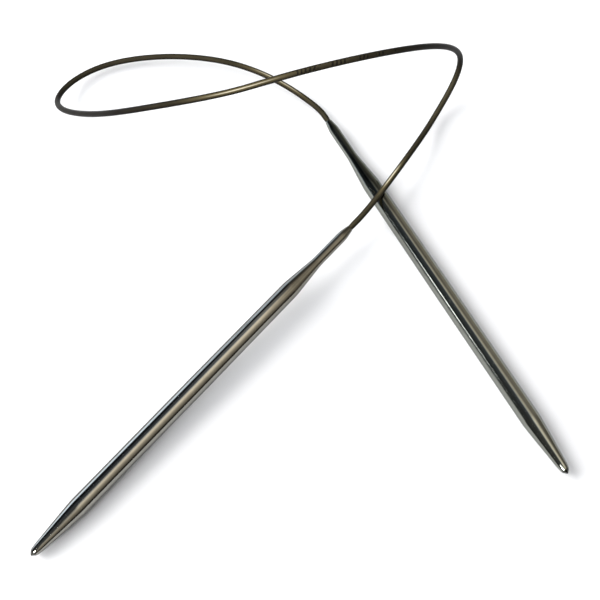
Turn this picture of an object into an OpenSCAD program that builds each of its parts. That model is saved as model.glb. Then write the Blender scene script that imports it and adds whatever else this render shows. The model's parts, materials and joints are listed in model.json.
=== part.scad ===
// Circular knitting needle: two hollow metal needle tips joined by one thin nylon
// cable. Both tips rest on the table plane z = 0 and cross at the back. The cable
// springs up between them in one standing arch, bent tightly where it meets the table.
// Units are millimetres, +Z is up, and the origin is the middle of the outline on the table.

/* [Needle tips] */
// diameter of the straight part of each needle
needle_d = 5.5; // [4.5:0.25:5.5]
// length of one needle from its point to the end the cable leaves
needle_length = 127; // [115:1:135]
// length of the tapered point with its nose
point_length = 17.5; // [14:0.5:22]
// radius where the short nose cone meets the long taper
nose_r = 1.15; // [0.8:0.05:1.4]
// length of the part with the full diameter
shaft_length = 46.5; // [20:0.5:48]
// diameter where the slight rear taper ends
rear_d = 5.2; // [4.3:0.05:5.4]
// length of the shoulder cone between the rear of the shaft and the neck
shoulder_length = 11; // [8:1:16]
// diameter of the slim neck that grips the cable
neck_d = 3; // [2.6:0.05:3.4]
// length of the neck with its tapered end
neck_length = 14; // [8:0.5:16]
// length of the tapered end of the neck, pressed onto the cable
lip_length = 3; // [2:0.5:4]
// wall thickness of the tube
wall = 0.6; // [0.4:0.05:0.8]

/* [Cable] */
// diameter of the nylon cable
cable_d = 1.6; // [1.2:0.1:1.8]
// depth of the glued cable end inside the neck
seat_depth = 10; // [6:1:12]
// straight cable between the neck and the first bend
stub_length = 2; // [1.8:0.1:3]
// clearance in the ball and cup between two pieces of cable
cup_gap = 0.05; // [0.03:0.01:0.08]

/* [Lay on the table] */
// direction of the left needle seen from above, in degrees from +X
left_heading = 39.6; // [38:0.1:41]
// slope of the left needle, which leans on the right one, in degrees
left_pitch = 1.85; // [1.5:0.05:2.5]
// direction of the right needle seen from above, in degrees from +X
right_heading = 112.4; // [111:0.1:114]

/* [Hidden] */
$fn = 96;

needle_r = needle_d / 2;
rear_r = rear_d / 2;
neck_r = neck_d / 2;
cable_r = cable_d / 2;
ball_r = cable_r - 0.02;
cup_r = ball_r + cup_gap;
// where the neck starts and where the shoulder starts, from the point
neck_z = needle_length - neck_length;
shoulder_z = neck_z - shoulder_length;
shaft_end_z = point_length + shaft_length;
bore_r = cable_r + 0.03;
// the wall is thinner at the rear, where the tube was drawn down
cavity_r = needle_r - wall;
cavity_rear_r = rear_r - wall;
// the nose is a cone of 90 degrees with a slightly rounded end
nose_end_r = 0.35;
nose_start_z = 0.1;
nose_start_r = 0.2;
nose_z = nose_start_z + nose_r - nose_start_r;
lip_r = cable_r + 0.15;

// unit vectors out of each needle into the cable
left_out = [
  cos(left_pitch) * cos(left_heading),
  cos(left_pitch) * sin(left_heading),
  sin(left_pitch)
];
right_out = [cos(right_heading), sin(right_heading), 0];

// centres of the two rear ends
left_end = [25.1, 5.4, 6.3];
right_end = [24, 43.5, needle_r];

// first bend of the cable beside each needle
left_start = left_end + stub_length * left_out;
right_start = right_end + stub_length * right_out;

// The cable runs along a uniform cubic B-spline. Its first three control points
// lie on the left needle's axis and its last three on the right needle's axis.
route = [
  left_start - 7 * left_out,
  left_start,
  left_start + 7 * left_out,
  [49.5, 30.5, 6.5],
  [56, 41.5, -0.5],
  [71.5, 57, 14],
  [43.5, 31, 56.5],
  [10.5, 26, 58.5],
  [-1.5, 25.5, 54.5],
  [-28, 29, 47.5],
  [-45, 43, 25],
  [-62.5, 62, 4],
  [-44.5, 79.5, 1],
  [-1, 70, 6.5],
  right_start + 4.7 * right_out,
  right_start,
  right_start - 4.7 * right_out
];
spans = len(route) - 3;
pieces_per_span = 2;

// point on the spline at t, where t runs from 0 to the number of spans
function on_span(i, u) =
  (pow(1 - u, 3) * route[i]
  + (3 * pow(u, 3) - 6 * pow(u, 2) + 4) * route[i + 1]
  + (-3 * pow(u, 3) + 3 * pow(u, 2) + 3 * u + 1) * route[i + 2]
  + pow(u, 3) * route[i + 3]) / 6;
function cable_point(t) = on_span(min(floor(t), spans - 1), t - min(floor(t), spans - 1));

function unit(v) = v / norm(v);
// centre of the circle through three points
function arc_centre(a, m, b) =
  let (p = m - a, q = b - a, n = cross(p, q))
  a + (cross(n, p) * (q * q) + cross(q, n) * (p * p)) / (2 * (n * n));
// rigid frame from an origin and three unit axes
function frame(o, x, y, z) = [
  [x[0], y[0], z[0], o[0]],
  [x[1], y[1], z[1], o[1]],
  [x[2], y[2], z[2], o[2]],
  [0, 0, 0, 1]
];

// one piece of the cable: a round bar bent along the circle through three points of
// the route, with a ball at its start and a cup at its end
module cable_piece(i) {
  a = cable_point((i - 1) / pieces_per_span);
  m = cable_point((i - 0.5) / pieces_per_span);
  b = cable_point(i / pieces_per_span);
  c = arc_centre(a, m, b);
  bend_r = norm(a - c);
  x = unit(a - c);
  z = unit(cross(m - a, b - a));
  sweep = 2 * asin(norm(b - a) / 2 / bend_r);
  color([0.27, 0.24, 0.16])
    multmatrix(frame(c, x, cross(z, x), z))
      difference() {
        union() {
          rotate_extrude(angle = sweep)
            translate([bend_r, 0])
              circle(r = cable_r);
          on_bend(bend_r, 0) sphere(r = ball_r);
        }
        on_bend(bend_r, sweep) sphere(r = cup_r);
      }
}

// puts a ball on the bend with its poles along the cable
module on_bend(bend_r, angle) {
  rotate([0, 0, angle])
    translate([bend_r, 0, 0])
      rotate([90, 45, 0])
        children();
}

// stands its children on the point of a needle, with +Z towards the rear end
module along_left() {
  translate(left_end - needle_length * left_out)
    rotate([0, 90 - left_pitch, left_heading])
      children();
}

module along_right() {
  translate(right_end - needle_length * right_out)
    rotate([0, 90, right_heading])
      children();
}

// hollow tube with a closed point, drawn down at the rear into the neck
module needle_tube() {
  color([0.80, 0.79, 0.76])
    difference() {
      union() {
        translate([0, 0, nose_end_r]) sphere(r = nose_end_r);
        translate([0, 0, nose_start_z])
          cylinder(r1 = nose_start_r, r2 = nose_r, h = nose_z - nose_start_z);
        translate([0, 0, nose_z])
          cylinder(r1 = nose_r, r2 = needle_r, h = point_length - nose_z);
        translate([0, 0, point_length])
          cylinder(r = needle_r, h = shaft_length);
        translate([0, 0, shaft_end_z])
          cylinder(r1 = needle_r, r2 = rear_r, h = shoulder_z - shaft_end_z);
        translate([0, 0, shoulder_z])
          cylinder(r1 = rear_r, r2 = neck_r, h = shoulder_length);
        translate([0, 0, neck_z])
          cylinder(r = neck_r, h = neck_length - lip_length);
        translate([0, 0, needle_length - lip_length])
          cylinder(r1 = neck_r, r2 = lip_r, h = lip_length);
      }
      translate([0, 0, point_length / 3])
        cylinder(r1 = nose_r / 2, r2 = cavity_r, h = point_length);
      translate([0, 0, point_length * 4 / 3])
        cylinder(r = cavity_r, h = shaft_end_z - point_length * 4 / 3);
      translate([0, 0, shaft_end_z])
        cylinder(r1 = cavity_r, r2 = cavity_rear_r, h = shoulder_z - shaft_end_z);
      translate([0, 0, shoulder_z])
        cylinder(r1 = cavity_rear_r, r2 = bore_r, h = shoulder_length);
      translate([0, 0, neck_z - 0.01])
        cylinder(r = bore_r, h = neck_length + 1);
    }
}

// cable end glued in a neck, reaching out to the first bend
module seated_cable() {
  translate([0, 0, needle_length - seat_depth])
    cylinder(r = cable_r, h = seat_depth + stub_length);
}

module left_needle() {
  along_left() needle_tube();
}

module right_needle() {
  along_right() needle_tube();
}

module cable_seat_left() {
  color([0.27, 0.24, 0.16])
    along_left()
      difference() {
        seated_cable();
        translate([0, 0, needle_length + stub_length]) sphere(r = cup_r);
      }
}

module cable_seat_right() {
  color([0.27, 0.24, 0.16])
    along_right() {
      seated_cable();
      translate([0, 0, needle_length + stub_length]) sphere(r = ball_r);
    }
}

left_needle();
right_needle();
cable_seat_left();
cable_seat_right();
cable_piece(1);  // cable_piece_01
cable_piece(2);  // cable_piece_02
cable_piece(3);  // cable_piece_03
cable_piece(4);  // cable_piece_04
cable_piece(5);  // cable_piece_05
cable_piece(6);  // cable_piece_06
cable_piece(7);  // cable_piece_07
cable_piece(8);  // cable_piece_08
cable_piece(9);  // cable_piece_09
cable_piece(10);  // cable_piece_10
cable_piece(11);  // cable_piece_11
cable_piece(12);  // cable_piece_12
cable_piece(13);  // cable_piece_13
cable_piece(14);  // cable_piece_14
cable_piece(15);  // cable_piece_15
cable_piece(16);  // cable_piece_16
cable_piece(17);  // cable_piece_17
cable_piece(18);  // cable_piece_18
cable_piece(19);  // cable_piece_19
cable_piece(20);  // cable_piece_20
cable_piece(21);  // cable_piece_21
cable_piece(22);  // cable_piece_22
cable_piece(23);  // cable_piece_23
cable_piece(24);  // cable_piece_24
cable_piece(25);  // cable_piece_25
cable_piece(26);  // cable_piece_26
cable_piece(27);  // cable_piece_27
cable_piece(28);  // cable_piece_28
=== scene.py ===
import json
import math

import bpy
import numpy as np
from mathutils import Matrix, Vector

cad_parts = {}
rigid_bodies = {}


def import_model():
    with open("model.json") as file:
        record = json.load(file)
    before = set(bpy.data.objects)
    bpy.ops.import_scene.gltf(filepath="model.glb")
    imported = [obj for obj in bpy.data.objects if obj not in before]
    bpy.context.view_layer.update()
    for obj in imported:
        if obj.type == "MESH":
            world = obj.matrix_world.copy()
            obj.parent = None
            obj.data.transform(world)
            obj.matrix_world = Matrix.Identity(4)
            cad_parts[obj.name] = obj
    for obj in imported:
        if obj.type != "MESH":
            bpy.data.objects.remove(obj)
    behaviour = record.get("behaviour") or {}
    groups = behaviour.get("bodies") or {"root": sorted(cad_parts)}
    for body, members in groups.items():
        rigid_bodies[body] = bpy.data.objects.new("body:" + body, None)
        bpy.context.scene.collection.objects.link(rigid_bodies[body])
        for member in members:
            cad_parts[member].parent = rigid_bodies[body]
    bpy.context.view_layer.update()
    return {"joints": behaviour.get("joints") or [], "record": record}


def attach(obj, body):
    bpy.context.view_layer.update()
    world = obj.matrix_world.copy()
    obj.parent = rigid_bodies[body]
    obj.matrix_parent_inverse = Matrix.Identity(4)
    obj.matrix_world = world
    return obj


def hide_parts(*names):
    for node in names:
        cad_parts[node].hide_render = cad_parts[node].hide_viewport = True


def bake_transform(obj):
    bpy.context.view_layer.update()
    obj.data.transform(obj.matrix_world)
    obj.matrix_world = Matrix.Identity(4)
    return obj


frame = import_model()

record = frame["record"]
MM = 0.001

# ---------------------------------------------------------------- frame data
mount_of = {m["name"]: m for m in record["mounts"]}
joint_between = {(j["parent"], j["child"]): j for j in frame["joints"]}
PIECES = 28
BENDS = 27
chain = ["left_needle_body"] + ["cable_%02d" % i for i in range(1, BENDS)] + ["right_needle_body"]
hinge_points = [joint_between[(chain[k + 1], chain[k])]["pos_m"] for k in range(BENDS)]

NEEDLE_LENGTH = 127 * MM
STUB = 2 * MM
SHAFT_MIDDLE = 40.75 * MM
SEAT_RADIUS = 0.8 * MM
CABLE_RADIUS = 0.87 * MM


def needle_axis(mount_name):
    """Point and unit vector of a needle: its tip, and the direction from the tip to the rear end."""
    mount = mount_of[mount_name]
    to_rear = -Vector(mount["axis"]).normalized()
    tip = Vector(mount["pos_m"]) - to_rear * SHAFT_MIDDLE
    return tip, to_rear


left_tip, left_out = needle_axis("left_needle_shaft")
right_tip, right_out = needle_axis("right_needle_shaft")

# the last two points lie on the stiff length beside the right neck, where the line follows the needle's axis
right_mouth = np.array(right_tip) + (NEEDLE_LENGTH + STUB) * np.array(right_out)
last_hinge = np.array(hinge_points[-1])
before_mouth = last_hinge / 8 + 7 / 8 * right_mouth + 1.7625 * MM * np.array(right_out)
bend_points = np.array([*hinge_points, before_mouth, right_mouth], float)


# ---------------------------------------------------------------- node helpers
class Nodes:
    """A small builder for shader node trees."""

    def __init__(self, tree):
        self.tree = tree
        tree.nodes.clear()

    def add(self, kind, **settings):
        node = self.tree.nodes.new(kind)
        for name, value in settings.items():
            setattr(node, name, value)
        return node

    def put(self, socket, value):
        if isinstance(value, bpy.types.NodeSocket):
            self.tree.links.new(value, socket)
        else:
            socket.default_value = value

    def math(self, operation, a, b=None, c=None, clamp=False):
        node = self.add("ShaderNodeMath", operation=operation, use_clamp=clamp)
        for i, value in enumerate((a, b, c)):
            if value is not None:
                self.put(node.inputs[i], value)
        return node.outputs[0]

    def vector(self, operation, a, b=None):
        node = self.add("ShaderNodeVectorMath", operation=operation)
        self.put(node.inputs[0], a)
        if b is not None:
            self.put(node.inputs[1], b)
        return node

    def steps(self, value, low, high, out_low=0.0, out_high=1.0):
        """Smooth change from out_low at low to out_high at high."""
        node = self.add("ShaderNodeMapRange", interpolation_type="SMOOTHSTEP")
        self.put(node.inputs["Value"], value)
        node.inputs["From Min"].default_value = low
        node.inputs["From Max"].default_value = high
        node.inputs["To Min"].default_value = out_low
        node.inputs["To Max"].default_value = out_high
        return node.outputs["Result"]

    def ramp(self, value, stops, interpolation="LINEAR"):
        node = self.add("ShaderNodeValToRGB")
        node.color_ramp.interpolation = interpolation
        elements = node.color_ramp.elements
        while len(elements) > 1:
            elements.remove(elements[-1])
        for i, (place, colour) in enumerate(stops):
            element = elements[0] if i == 0 else elements.new(place)
            element.position = place
            element.color = (*colour, 1.0) if len(colour) == 3 else colour
        self.put(node.inputs["Fac"], value)
        return node.outputs["Color"]

    def mix(self, factor, a, b, blend="MIX"):
        node = self.add("ShaderNodeMix", data_type="RGBA", blend_type=blend)
        self.put(node.inputs[0], factor)
        self.put(node.inputs[6], a)
        self.put(node.inputs[7], b)
        return node.outputs[2]

    def noise(self, vector, scale, detail=2.0, roughness=0.5, distortion=0.0):
        node = self.add("ShaderNodeTexNoise")
        self.put(node.inputs["Vector"], vector)
        node.inputs["Scale"].default_value = scale
        node.inputs["Detail"].default_value = detail
        node.inputs["Roughness"].default_value = roughness
        node.inputs["Distortion"].default_value = distortion
        return node.outputs["Fac"]

    def stretched(self, vector, scale):
        node = self.add("ShaderNodeMapping")
        self.put(node.inputs["Vector"], vector)
        node.inputs["Scale"].default_value = scale
        return node.outputs["Vector"]

    def bump(self, height, strength, distance, normal=None):
        node = self.add("ShaderNodeBump")
        self.put(node.inputs["Height"], height)
        node.inputs["Strength"].default_value = strength
        node.inputs["Distance"].default_value = distance
        if normal is not None:
            self.put(node.inputs["Normal"], normal)
        return node.outputs["Normal"]


def new_material(name):
    material = bpy.data.materials.new(name)
    material.use_nodes = True
    return material, Nodes(material.node_tree)


def finish_surface(n, **values):
    shader = n.add("ShaderNodeBsdfPrincipled")
    for name, value in values.items():
        n.put(shader.inputs[name.replace("_", " ")], value)
    out = n.add("ShaderNodeOutputMaterial")
    n.tree.links.new(shader.outputs["BSDF"], out.inputs["Surface"])
    return shader


# ---------------------------------------------------------------- materials
# painted golden highlights on the cable: distance from the left neck and half length in mm, world direction, place,
# strength
PAINTED_GOLD_LIGHT = [
    (18.5, 9.0, (-0.78, 0.30, 0.0), 0.10, 1.0),
    (155.5, 20.0, (0.10, -0.92, -0.38), 0.05, 1.0),
    (322.0, 16.0, (0.45, 0.80, 0.34), 0.26, 0.75),
]
# groups of printed ticks: distance from the left neck and half length in mm
PRINT = [(94.8, 3.0), (104.0, 2.8), (111.5, 0.6), (116.8, 1.7), (122.4, 1.8), (129.4, 2.3), (137.8, 3.0)]
# colour of the cable along its length, from the left neck at 0 to the right neck at 1
TONE = [(0.00, (0.80, 0.80, 0.80)), (0.12, (0.74, 0.75, 0.76)), (0.28, (0.74, 0.74, 0.74)), (0.46, (0.80, 0.80, 0.80)),
        (0.52, (0.42, 0.42, 0.42)), (0.58, (0.44, 0.44, 0.50)), (0.64, (0.60, 0.63, 0.74)), (0.71, (0.62, 0.64, 0.72)),
        (0.78, (0.56, 0.56, 0.58)), (0.86, (0.60, 0.60, 0.60)), (1.00, (0.52, 0.52, 0.52))]
# painted shade towards the edges: how much of the plate colour is kept, from facing the eye to edge on
PAINTED_EDGE_SHADE = [(0.00, 1.0), (0.08, 0.95), (0.13, 0.70), (0.19, 0.42), (0.27, 0.37), (0.40, 0.38),
       (0.50, 0.31), (0.60, 0.20), (0.75, 0.12), (1.00, 0.08)]


def nickel(name, tint, neck_side, painted_neck_tone):
    """Polished nickel plate with fine turning lines round the tube and a few hair scratches.

    The wrap map holds millimetres: x runs round the tube and y along it. The neck is drawn down on a die. Painted
    shade darkens the plate towards its edges, where it faces back and left, at the nose tip and on the neck: neck_side
    is the world direction across the neck and painted_neck_tone what is left of the plate on its shaded side. tint is
    a painted tint of the plate.
    """
    material, n = new_material(name)
    wrap = n.add("ShaderNodeUVMap", uv_map="wrap").outputs["UV"]
    rings = n.noise(n.stretched(wrap, (0.05, 9.0, 1.0)), 1.0, detail=3.0, roughness=0.6)
    broad = n.noise(n.stretched(wrap, (0.12, 0.35, 1.0)), 1.0, detail=2.0)
    scratch = n.noise(n.stretched(wrap, (3.2, 0.5, 1.0)), 1.0, detail=4.0, roughness=0.7, distortion=0.6)
    hairs = n.steps(scratch, 0.66, 0.72)
    specks = n.steps(n.noise(n.stretched(wrap, (2.6, 2.6, 1.0)), 1.0, detail=3.0, roughness=0.75), 0.66, 0.72)
    # painted shade: the plate darkens towards its edges
    facing = n.add("ShaderNodeLayerWeight")
    facing.inputs["Blend"].default_value = 0.5
    rim = n.ramp(facing.outputs["Facing"], [(place, (f, f, f * 0.98)) for place, f in PAINTED_EDGE_SHADE])
    plate = n.ramp(broad, [(0.3, (0.60, 0.585, 0.53)), (0.7, (0.68, 0.665, 0.61))])
    plate = n.mix(1.0, plate, tint, "MULTIPLY")
    plate = n.mix(1.0, plate, rim, "MULTIPLY")
    normal_in = n.add("ShaderNodeNewGeometry").outputs["Normal"]
    # painted shade: the plate is darkened where it faces back and left
    back_left = n.vector("DOT_PRODUCT", normal_in, (-0.6, 0.8, 0.0)).outputs["Value"]
    painted_back_shade = n.steps(back_left, 0.62, 0.70, 1.0, 0.3)
    plate = n.mix(1.0, plate, n.ramp(painted_back_shade, [(0.0, (0, 0, 0)), (1.0, (1, 1, 1))]), "MULTIPLY")
    down_tube = n.add("ShaderNodeSeparateXYZ")
    n.put(down_tube.inputs[0], wrap)
    # painted shade: the plate darkens towards the very tip of the nose
    nose = n.steps(down_tube.outputs["Y"], 1.9, 1.4)
    plate = n.mix(n.math("MULTIPLY", nose, 0.62), plate, (0.03, 0.03, 0.03, 1))
    # painted shade on the neck: all but one side takes the neck tone, and a band down its middle darkens towards black
    neck = n.steps(down_tube.outputs["Y"], 88.0, 104.0)
    across = n.vector("DOT_PRODUCT", normal_in, neck_side).outputs["Value"]
    plate = n.mix(n.math("MULTIPLY", neck, n.steps(across, -0.55, -0.30)), plate,
                  n.mix(1.0, plate, painted_neck_tone, "MULTIPLY"))
    painted_neck_shade = n.math("MULTIPLY", n.math("MULTIPLY", neck, n.steps(across, -0.55, -0.30)), n.steps(across, 0.52, 0.30))
    plate = n.mix(n.math("MULTIPLY", painted_neck_shade, 0.62), plate, (0.02, 0.022, 0.024, 1))
    plate = n.mix(n.math("MULTIPLY", specks, 0.35), plate, (0.30, 0.29, 0.26, 1))
    rough = n.math("ADD", 0.045, n.math("MULTIPLY", rings, 0.075))
    rough = n.math("ADD", rough, n.math("MULTIPLY", hairs, 0.12))
    normal = n.bump(rings, 0.10, 0.00006)
    normal = n.bump(hairs, 0.12, 0.00003, normal)
    normal = n.bump(specks, 0.30, 0.00004, normal)
    finish_surface(n, Base_Color=plate, Metallic=n.steps(specks, 0.0, 1.0, 1.0, 0.35), Roughness=rough, Normal=normal)
    return material


def bore_metal():
    """The unpolished inside of the tube, which shows only at the mouth of the neck."""
    material, n = new_material("tube_inside")
    wrap = n.add("ShaderNodeUVMap", uv_map="wrap").outputs["UV"]
    grain = n.noise(n.stretched(wrap, (1.5, 6.0, 1.0)), 1.0, detail=3.0)
    colour = n.ramp(grain, [(0.3, (0.18, 0.15, 0.10)), (0.7, (0.28, 0.24, 0.17))])
    finish_surface(n, Base_Color=colour, Metallic=1.0, Roughness=0.45,
                   Normal=n.bump(grain, 0.3, 0.00005))
    return material


def band(n, value, centre, reach, softness):
    """1 around centre, falling to 0 at reach over the given softness."""
    off = n.math("ABSOLUTE", n.math("SUBTRACT", value, centre))
    return n.steps(off, reach, reach - softness)


def nylon():
    """Dark bronze translucent nylon: draw lines, clouding, painted golden highlights, painted edge shade, and plain
    print marks.

    The wrap map holds millimetres: x runs round the cable and y along it from the left neck.
    """
    material, n = new_material("bronze_nylon")
    wrap = n.add("ShaderNodeUVMap", uv_map="wrap").outputs["UV"]
    axes = n.add("ShaderNodeSeparateXYZ")
    n.put(axes.inputs[0], wrap)
    along = axes.outputs["Y"]
    draw = n.noise(n.stretched(wrap, (4.0, 0.08, 1.0)), 1.0, detail=3.0, roughness=0.6)
    cloud = n.noise(n.stretched(wrap, (0.5, 0.12, 1.0)), 1.0, detail=3.0)
    fine = n.noise(n.stretched(wrap, (6.0, 3.0, 1.0)), 1.0, detail=2.0)
    body = n.ramp(cloud, [
        (0.25, (0.050, 0.042, 0.025)),
        (0.50, (0.068, 0.057, 0.034)),
        (0.78, (0.092, 0.077, 0.046)),
    ])
    body = n.mix(n.math("MULTIPLY", n.steps(draw, 0.45, 0.75), 0.30), body, (0.11, 0.095, 0.058, 1))
    # the cable's colour is scaled along its length: lightest over the first half, darkest just past half way, bluish
    # around two thirds
    tone = n.ramp(n.math("DIVIDE", along, 340.0), TONE)
    body = n.mix(1.0, body, tone, "MULTIPLY")

    # painted light and shade: the body is lighter where it faces the eye and darker towards its edges
    facing = n.add("ShaderNodeLayerWeight")
    facing.inputs["Blend"].default_value = 0.5
    painted_facing_shade = n.ramp(facing.outputs["Facing"], [
        (0.00, (1.10, 1.10, 1.10)),
        (0.12, (0.98, 0.98, 0.98)),
        (0.28, (0.62, 0.62, 0.63)),
        (0.50, (0.24, 0.24, 0.26)),
        (1.00, (0.10, 0.10, 0.12)),
    ])

    # painted golden highlights: where along the cable, how long, which side, how strong
    normal_in = n.add("ShaderNodeNewGeometry").outputs["Normal"]
    wobble = n.math("MULTIPLY", n.math("SUBTRACT", draw, 0.5), 0.22)
    painted_glows = painted_highlights = None
    for centre, reach, side, place, strength in PAINTED_GOLD_LIGHT:
        toward = n.math("ADD", n.vector("DOT_PRODUCT", normal_in, side).outputs["Value"], wobble)
        length = band(n, along, centre, reach, reach * 0.8)
        core_length = band(n, along, centre, reach * 0.62, reach * 0.5)
        glow = n.math("MULTIPLY", length, band(n, toward, place, 0.75, 0.6))
        streak = n.math("MULTIPLY", core_length, band(n, toward, place, 0.20, 0.14))
        glow = n.math("MULTIPLY", glow, 0.75 * strength)
        streak = n.math("MULTIPLY", streak, strength)
        painted_glows = glow if painted_glows is None else n.math("MAXIMUM", painted_glows, glow)
        painted_highlights = streak if painted_highlights is None else n.math("MAXIMUM", painted_highlights, streak)
    body = n.mix(painted_glows, body, (0.165, 0.132, 0.062, 1))
    body = n.mix(1.0, body, painted_facing_shade, "MULTIPLY")
    body = n.mix(painted_highlights, body, (0.60, 0.54, 0.40, 1))

    # plain ticks printed on the side that faces up
    tick = n.steps(n.math("FRACT", n.math("DIVIDE", n.math("ADD", along, n.math("MULTIPLY", cloud, 1.6)), 1.15)),
                   0.50, 0.60)
    groups = None
    for centre, reach in PRINT:
        group = band(n, along, centre, reach, 0.3)
        groups = group if groups is None else n.math("MAXIMUM", groups, group)
    up = n.vector("DOT_PRODUCT", normal_in, (0.10, -0.45, 0.89)).outputs["Value"]
    ink = n.math("MULTIPLY", n.math("MULTIPLY", tick, groups), n.steps(up, 0.74, 0.82))
    ink = n.math("MULTIPLY", ink, n.steps(fine, 0.30, 0.48, 0.4, 0.85))
    body = n.mix(ink, body, (0.010, 0.009, 0.008, 1))

    rough = n.math("ADD", 0.26, n.math("MULTIPLY", fine, 0.16))
    normal = n.bump(draw, 0.25, 0.00004)
    normal = n.bump(fine, 0.10, 0.00002, normal)
    finish_surface(n, Base_Color=body, Roughness=rough, IOR=1.09, Normal=normal)
    return material


def table_top():
    """Plain white matt board with a very faint tooth, which runs out into the pale backdrop."""
    material, n = new_material("white_board")
    place = n.add("ShaderNodeTexCoord").outputs["Object"]
    tooth = n.noise(place, 900.0, detail=3.0, roughness=0.6)
    patch = n.noise(place, 6.0, detail=2.0)
    colour = n.ramp(patch, [(0.3, (0.885, 0.885, 0.885)), (0.7, (0.90, 0.90, 0.90))])
    away = n.vector("LENGTH", place).outputs["Value"]
    seen = n.add("ShaderNodeLightPath").outputs["Is Camera Ray"]
    glow = n.math("MULTIPLY", n.steps(away, 0.22, 0.60), seen)
    finish_surface(n, Base_Color=colour, Roughness=0.85, Specular_IOR_Level=0.2,
                   Normal=n.bump(tooth, 0.04, 0.0001), Emission_Color=(1.0, 1.0, 1.0, 1),
                   Emission_Strength=glow)
    return material


# one plate for both needles with a painted difference: the right needle has a greenish painted tint and a darker
# painted neck tone
NICKEL_LEFT = nickel("nickel_plate_left", (1.0, 1.0, 1.0, 1), (0.64, -0.77, 0.0), (0.92, 0.90, 0.86, 1))
NICKEL_RIGHT = nickel("nickel_plate_right", (0.93, 0.98, 0.97, 1), (0.92, 0.38, 0.0), (0.60, 0.66, 0.66, 1))
BORE = bore_metal()
NYLON = nylon()


# ---------------------------------------------------------------- mesh helpers
def mesh_object(name, points, faces, wrap, materials, face_material=None):
    mesh = bpy.data.meshes.new(name)
    mesh.from_pydata([tuple(p) for p in points], [], faces)
    layer = mesh.uv_layers.new(name="wrap")
    layer.data.foreach_set("uv", np.asarray(wrap, np.float32).ravel())
    for material in materials:
        mesh.materials.append(material)
    if face_material is not None:
        mesh.polygons.foreach_set("material_index", face_material)
    mesh.polygons.foreach_set("use_smooth", [len(face) <= 4 for face in faces])
    mesh.update()
    # a closed end is a crisp edge, so that its face does not bend the shading of the side
    rims = {frozenset(pair) for face in faces if len(face) > 4 for pair in zip(face, face[1:] + face[:1])}
    if rims:
        mesh.edges.foreach_set("use_edge_sharp", [frozenset(edge.vertices) in rims for edge in mesh.edges])
        mesh.update()
    obj = bpy.data.objects.new(name, mesh)
    bpy.context.scene.collection.objects.link(obj)
    return obj


# ---------------------------------------------------------------- needles
# outer radius of a needle at stations along its length, in mm
NOSE_R = 0.35
OUTER = [
    (0.1, 0.25), (0.98, 1.08), (1.9, 1.31), (3.0, 1.48), (6.3, 1.76), (11.9, 2.29), (17.4, 2.75), (64.0, 2.75), (102.0, 2.6), (113.0, 1.5),
    (124.0, 1.5), (127.0, 0.95),
]
BORE_R = 0.83
# inner radius from the closed front of the tube to the mouth of the neck, in mm
INNER = [
    (6.67, 0.0), (6.68, 0.65), (26.7, 2.15), (64.0, 2.15), (102.0, 2.0), (113.0, BORE_R), (126.2, BORE_R),
]


def softened(stations, step):
    """Radius profile with each corner rounded over a sliding window that is narrow at the nose, in mm."""
    zs, rs = zip(*stations)
    z = np.arange(zs[0], zs[-1] - 0.15, step)
    window = np.clip(0.85 + (z - 1.0) * 0.5, 0.5, 3.0)
    window = np.minimum(window, 2 * (zs[-1] - z))
    taps = np.linspace(-0.5, 0.5, 17)
    weight = 1 + np.cos(np.linspace(-math.pi, math.pi, 17))
    weight /= weight.sum()
    radius = np.zeros_like(z)
    for tap, share in zip(taps, weight):
        radius += share * np.interp(z + tap * window, zs, rs)
    return z, radius


def needle_profile():
    """Closed outline of the tube wall: nose, outside, lip, bore and cavity."""
    nose = [
        (NOSE_R - NOSE_R * math.cos(a), NOSE_R * math.sin(a))
        for a in np.radians(np.linspace(0, 42, 8))
    ]
    near_z, near_r = softened(OUTER, 0.05)
    far_z, far_r = softened(OUTER, 0.25)
    near = (near_z > 0.16) & (near_z < 4.0)
    far = far_z >= 4.0
    outer = list(zip(near_z[near], near_r[near])) + list(zip(far_z[far], far_r[far]))
    lip_r = OUTER[-1][1]
    lip = [(126.86, lip_r + 0.022), (126.94, lip_r), (126.985, lip_r - 0.04), (127.0, lip_r - 0.08)]
    roll = [(126.97, BORE_R + 0.01), (126.90, BORE_R)]
    inner = [(z, r) for z, r in reversed(INNER)]
    outside = nose + outer + lip + roll
    return outside + inner[1:], len(outside)


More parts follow.
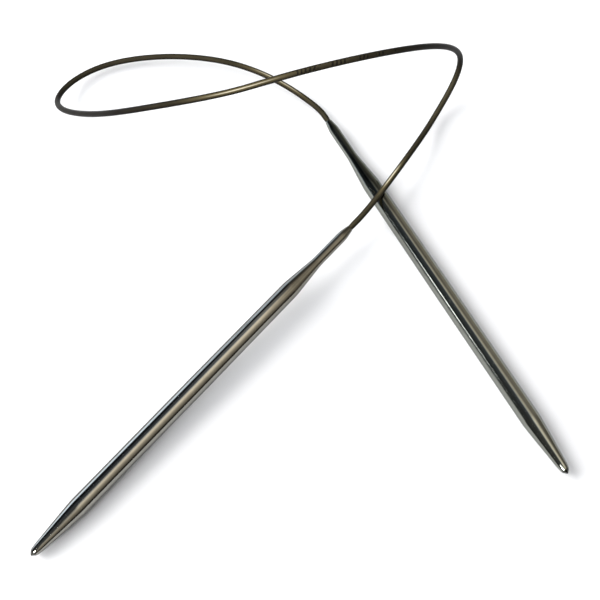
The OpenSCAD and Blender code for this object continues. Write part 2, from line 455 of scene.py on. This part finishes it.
def needle_mesh(name, tip, to_rear, plate, segments=144):
    profile, outside_count = needle_profile()
    side = to_rear.cross(Vector((0, 0, 1))).normalized()
    up = side.cross(to_rear).normalized()
    tip_a, side_a, up_a, out_a = (np.array(v, float) for v in (tip, side, up, to_rear))
    angle = np.linspace(0, 2 * math.pi, segments, endpoint=False)
    points = [tip_a]
    for z, r in profile[1:-1]:
        ring = tip_a + out_a * z * MM
        ring = ring + r * MM * (np.cos(angle)[:, None] * side_a + np.sin(angle)[:, None] * up_a)
        points.extend(ring)
    points.append(tip_a + out_a * profile[-1][0] * MM)
    faces, wrap, slot_of = [], [], []
    ring_count = len(profile) - 2
    girth = 2 * math.pi * 2.75

    def ring_index(row, column):
        return 1 + row * segments + column % segments

    travel = np.concatenate([[0], np.cumsum([
        math.hypot(b[0] - a[0], b[1] - a[1]) for a, b in zip(profile, profile[1:])
    ])])
    for c in range(segments):
        faces.append((0, ring_index(0, c + 1), ring_index(0, c)))
        u0, u1 = girth * c / segments, girth * (c + 1) / segments
        wrap += [(u0, 0), (u1, travel[1]), (u0, travel[1])]
        slot_of.append(0)
    for row in range(ring_count - 1):
        v0, v1 = travel[row + 1], travel[row + 2]
        for c in range(segments):
            faces.append((ring_index(row, c), ring_index(row, c + 1),
                          ring_index(row + 1, c + 1), ring_index(row + 1, c)))
            u0, u1 = girth * c / segments, girth * (c + 1) / segments
            wrap += [(u0, v0), (u1, v0), (u1, v1), (u0, v1)]
            slot_of.append(0 if row + 2 < outside_count else 1)
    last = len(points) - 1
    for c in range(segments):
        faces.append((last, ring_index(ring_count - 1, c), ring_index(ring_count - 1, c + 1)))
        u0, u1 = girth * c / segments, girth * (c + 1) / segments
        wrap += [(u0, travel[-1]), (u0, travel[-2]), (u1, travel[-2])]
        slot_of.append(1)
    return mesh_object(name, points, faces, wrap, [plate, BORE], slot_of)


left_needle = needle_mesh("left_needle_tube", left_tip, left_out, NICKEL_LEFT)
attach(left_needle, "left_needle_body")
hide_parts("left_needle")

right_needle = needle_mesh("right_needle_tube", right_tip, right_out, NICKEL_RIGHT)
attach(right_needle, "right_needle_body")
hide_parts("right_needle")


# ---------------------------------------------------------------- cable
def natural_spline(points):
    """Second derivatives of the natural cubic spline through points one unit apart."""
    count = len(points)
    system = np.zeros((count, count))
    target = np.zeros_like(points)
    system[0, 0] = system[-1, -1] = 1
    for i in range(1, count - 1):
        system[i, i - 1:i + 2] = (1, 4, 1)
        target[i] = 6 * (points[i - 1] - 2 * points[i] + points[i + 1])
    return np.linalg.solve(system, target)


bend_curvature = natural_spline(bend_points)


def cable_at(t):
    """Centre of the cable at t, where t counts the bends from 0 at the left needle."""
    t = np.atleast_1d(np.asarray(t, float))
    i = np.clip(np.floor(t).astype(int), 0, PIECES - 1)
    b = (t - i)[:, None]
    a = 1 - b
    p, q = bend_points, bend_curvature
    return (a * p[i] + b * p[i + 1]
            + ((a ** 3 - a) * q[i] + (b ** 3 - b) * q[i + 1]) / 6)


SEAT = 10 * MM
RING_STEP = 0.35 * MM
SIDES = 32


def cable_line():
    """Centre line from seat to seat, with the spline's t value at each point."""
    fine_t = np.linspace(0, PIECES, PIECES * 200 + 1)
    fine = cable_at(fine_t)
    travel = np.concatenate([[0], np.cumsum(np.linalg.norm(np.diff(fine, axis=0), axis=1))])
    length = travel[-1]
    return fine_t, travel, length


fine_t, fine_travel, cable_length = cable_line()
reach = SEAT + STUB


def line_point(s):
    """Centre of the cable at distance s from the left bend 0; it goes on straight into both necks."""
    s = np.asarray(s, float)
    inside = np.clip(s, 0, cable_length)
    centre = cable_at(np.interp(inside, fine_travel, fine_t))
    centre = centre + np.minimum(s, 0)[:, None] * np.array(left_out)
    centre = centre - np.maximum(s - cable_length, 0)[:, None] * np.array(right_out)
    return centre


# distances at which one visible piece meets the next: the middle of every CAD piece
middle_s = np.interp(np.arange(PIECES) + 0.5, fine_t, fine_travel)
cuts = np.concatenate([[-reach], middle_s, [cable_length + reach]])

# stations shared by neighbouring pieces, so their end rings coincide
stations = [cuts[0]]
cut_index = [0]
for a, b in zip(cuts, cuts[1:]):
    count = max(6, int(round((b - a) / RING_STEP)))
    stations += list(np.linspace(a, b, count + 1)[1:])
    cut_index.append(len(stations) - 1)
stations = np.array(stations)
centres = line_point(stations)
tangents = np.gradient(centres, axis=0)
tangents /= np.linalg.norm(tangents, axis=1)[:, None]

# frames that turn as little as possible from station to station
sides = np.zeros_like(centres)
first = np.cross(tangents[0], (0.0, 0.0, 1.0))
sides[0] = first / np.linalg.norm(first)
for i in range(1, len(centres)):
    v = sides[i - 1] - tangents[i] * np.dot(sides[i - 1], tangents[i])
    sides[i] = v / np.linalg.norm(v)
ups = np.cross(tangents, sides)


def cable_mesh(name, start, stop):
    """One closed length of cable between two stations, both included."""
    angle = np.linspace(0, 2 * math.pi, SIDES, endpoint=False)
    rows = range(start, stop + 1)
    points = []
    for i in rows:
        free = min(stations[i], cable_length - stations[i]) / MM
        radius = SEAT_RADIUS + (CABLE_RADIUS - SEAT_RADIUS) * min(max(free + 1.5, 0.0), 1.0)
        ring = centres[i] + radius * (
            np.cos(angle)[:, None] * sides[i] + np.sin(angle)[:, None] * ups[i])
        points.extend(ring)
    faces, wrap = [], []
    girth = 2 * math.pi * CABLE_RADIUS / MM
    for r, i in enumerate(list(rows)[:-1]):
        v0, v1 = stations[i] / MM, stations[i + 1] / MM
        for c in range(SIDES):
            d = (c + 1) % SIDES
            faces.append((r * SIDES + c, r * SIDES + d, (r + 1) * SIDES + d, (r + 1) * SIDES + c))
            u0, u1 = girth * c / SIDES, girth * (c + 1) / SIDES
            wrap += [(u0, v0), (u1, v0), (u1, v1), (u0, v1)]
    last = (len(rows) - 1) * SIDES
    faces.append(tuple(reversed(range(SIDES))))
    wrap += [(0.0, stations[start] / MM)] * SIDES
    faces.append(tuple(range(last, last + SIDES)))
    wrap += [(0.0, stations[stop] / MM)] * SIDES
    return mesh_object(name, points, faces, wrap, [NYLON])


for k in range(BENDS):
    piece = cable_mesh("cable_bend_%02d" % k, cut_index[k], cut_index[k + 1])
    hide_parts("cable_seat_left" if k == 0 else "cable_piece_%02d" % k)
    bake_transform(piece)

tail = cable_mesh("cable_tail_right", cut_index[BENDS], cut_index[-1])
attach(tail, "right_needle_body")
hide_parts("cable_piece_27", "cable_piece_28", "cable_seat_right")


# ---------------------------------------------------------------- table
floor_mesh = bpy.data.meshes.new("table_top")
half = 6.0
floor_mesh.from_pydata([(-half, -half, 0), (half, -half, 0), (half, half, 0), (-half, half, 0)],
                       [], [(0, 1, 2, 3)])
floor_mesh.materials.append(table_top())
floor = bpy.data.objects.new("table_top", floor_mesh)
bpy.context.scene.collection.objects.link(floor)


# ---------------------------------------------------------------- light
def studio_world():
    """Soft surroundings: a dim left side, a warm bright ceiling to the right and a pale low window on the left."""
    world = bpy.data.worlds.new("studio")
    world.use_nodes = True
    n = Nodes(world.node_tree)
    way = n.add("ShaderNodeTexCoord").outputs["Generated"]
    axes = n.add("ShaderNodeSeparateXYZ")
    n.put(axes.inputs[0], way)
    x, y, z = axes.outputs["X"], axes.outputs["Y"], axes.outputs["Z"]
    edge = n.math("SUBTRACT", 0.05, n.math("MULTIPLY", n.steps(y, 0.25, 0.50), 0.24))
    right_side = n.steps(n.math("SUBTRACT", x, edge), -0.18, 0.18)
    overhead = n.math("MULTIPLY", n.steps(y, 0.10, 0.35, 0.80, 0.50), n.math("POWER", n.math("MAXIMUM", z, 0.0), 6.0))
    ceiling = n.math("ADD", 0.14, overhead)
    behind = n.math("MULTIPLY", n.steps(y, 0.3, 0.6), n.steps(z, 0.85, 0.40))
    ceiling = n.math("ADD", ceiling, n.math("MULTIPLY", behind, 0.42))
    bright = n.math("MULTIPLY", right_side, ceiling)
    rear = n.math("MULTIPLY", n.math("MULTIPLY", n.steps(y, 0.42, 0.60), n.steps(x, -0.15, 0.05)), n.steps(z, 0.60, 0.75))
    bright = n.math("MULTIPLY", bright, n.math("SUBTRACT", 1.0, n.math("MULTIPLY", rear, 0.62)))
    front = n.math("MULTIPLY", n.steps(y, -0.46, -0.64), n.steps(z, 0.60, 0.25))
    brown = n.math("MULTIPLY", n.steps(x, -0.48, -0.40), n.steps(z, 0.80, 0.90))
    left_side = n.math("SUBTRACT", 1.0, n.steps(x, -0.35, -0.05))
    sill = n.math("ADD", 0.18, n.math("MULTIPLY", n.steps(y, 0.2, 0.8), 0.28))
    under = n.math("SUBTRACT", sill, z)
    window = n.math("MULTIPLY", left_side, n.steps(under, -0.05, 0.05))
    window = n.math("MULTIPLY", window, n.steps(y, -0.30, -0.12, 0.04, 1.0))
    pane = n.math("ADD", 1.2, n.math("MULTIPLY", n.steps(y, 0.3, 0.7), 0.5))
    slit = n.math("MULTIPLY", band(n, z, 0.19, 0.12, 0.06), n.steps(y, 0.50, 0.65))
    slit = n.math("MULTIPLY", slit, n.steps(x, -0.49, -0.56, 0.0, 2.4))
    pane = n.math("ADD", pane, slit)
    # a thin bright gap high on the left, which draws a short white line on the right needle
    gap = n.math("MULTIPLY", band(n, y, -0.030, 0.045, 0.03), band(n, z, 0.46, 0.05, 0.03))
    gap = n.math("MULTIPLY", n.math("MULTIPLY", gap, n.steps(x, -0.4, -0.5)), 9.0)
    total = n.math("ADD", bright, n.math("MULTIPLY", window, pane))
    total = n.math("ADD", total, gap)
    total = n.math("MULTIPLY", total, n.math("SUBTRACT", 1.0, n.math("MULTIPLY", front, 0.93)))
    total = n.math("ADD", total, n.steps(y, 0.45, 0.25, 0.016, 0.034))
    total = n.math("ADD", total, n.math("MULTIPLY", brown, 0.018))
    cool = n.mix(n.steps(y, -0.3, 0.3), (1.0, 1.0, 0.98, 1), (0.84, 0.97, 1.16, 1))
    warm = n.mix(right_side, cool, (1.08, 0.97, 0.80, 1))
    # the white board takes up the surroundings as plain grey light
    warm = n.mix(n.add("ShaderNodeLightPath").outputs["Is Diffuse Ray"], warm, (0.99, 0.99, 1.00, 1))
    # behind the board the eye sees a plain pale backdrop
    seen = n.add("ShaderNodeLightPath").outputs["Is Camera Ray"]
    background = n.add("ShaderNodeBackground")
    n.put(background.inputs["Color"], n.mix(seen, warm, (0.98, 0.98, 0.98, 1)))
    n.put(background.inputs["Strength"], n.mix(seen, total, (1, 1, 1, 1)))
    out = n.add("ShaderNodeOutputWorld")
    n.tree.links.new(background.outputs[0], out.inputs["Surface"])
    bpy.context.scene.world = world


def soft_light(name, place, aim, width, height, power, colour, glossy):
    data = bpy.data.lights.new(name, "AREA")
    data.shape = "RECTANGLE"
    data.size, data.size_y = width, height
    data.energy = power
    data.color = colour
    obj = bpy.data.objects.new(name, data)
    bpy.context.scene.collection.objects.link(obj)
    obj.location = place
    obj.rotation_mode = "QUATERNION"
    obj.rotation_quaternion = (Vector(aim) - Vector(place)).to_track_quat("-Z", "Y")
    obj.visible_glossy = glossy
    return obj


studio_world()
soft_light("window_left", (-1.223, 0.519, 0.798), (0, 0, 0), 1.5, 1.2, 46.0, (1.0, 1.0, 1.0), False)
soft_light("fill_above", (-0.45, -0.15, 1.4), (0, 0, 0), 1.5, 1.5, 13.2, (0.98, 0.99, 1.02), False)
glint = soft_light("glint_front", (-0.42, -0.63, 0.65), (0, 0, 0), 0.36, 0.36, 6.0, (1.0, 1.0, 1.0), True)
glint.visible_diffuse = False

# ---------------------------------------------------------------- camera
CAMERA_ELEVATION = 67.0
CAMERA_ROLL = -8.0
CAMERA_DISTANCE = 0.3795
CAMERA_TARGET = Vector((0.008, -0.012, 0.0))
FOCAL_PIXELS = 1320.0
IMAGE_SIZE = 600.0
SENSOR = 36.0

camera_data = bpy.data.cameras.new("camera")
camera_data.sensor_width = SENSOR
camera_data.lens = FOCAL_PIXELS / IMAGE_SIZE * SENSOR
camera_data.clip_start, camera_data.clip_end = 0.01, 20.0
camera = bpy.data.objects.new("camera", camera_data)
bpy.context.scene.collection.objects.link(camera)
elevation, roll = math.radians(CAMERA_ELEVATION), math.radians(CAMERA_ROLL)
back = Vector((0, -math.cos(elevation), math.sin(elevation)))
level_right = Vector((1, 0, 0))
level_up = back.cross(level_right)
turned_right = math.cos(roll) * level_right + math.sin(roll) * level_up
turned_up = -math.sin(roll) * level_right + math.cos(roll) * level_up
rotation = Matrix((turned_right, turned_up, back)).transposed()
camera.matrix_world = Matrix.Translation(CAMERA_TARGET + back * CAMERA_DISTANCE) @ rotation.to_4x4()
bpy.context.scene.camera = camera

bpy.context.scene.view_settings.view_transform = "Standard"
bpy.context.scene.view_settings.look = "None"
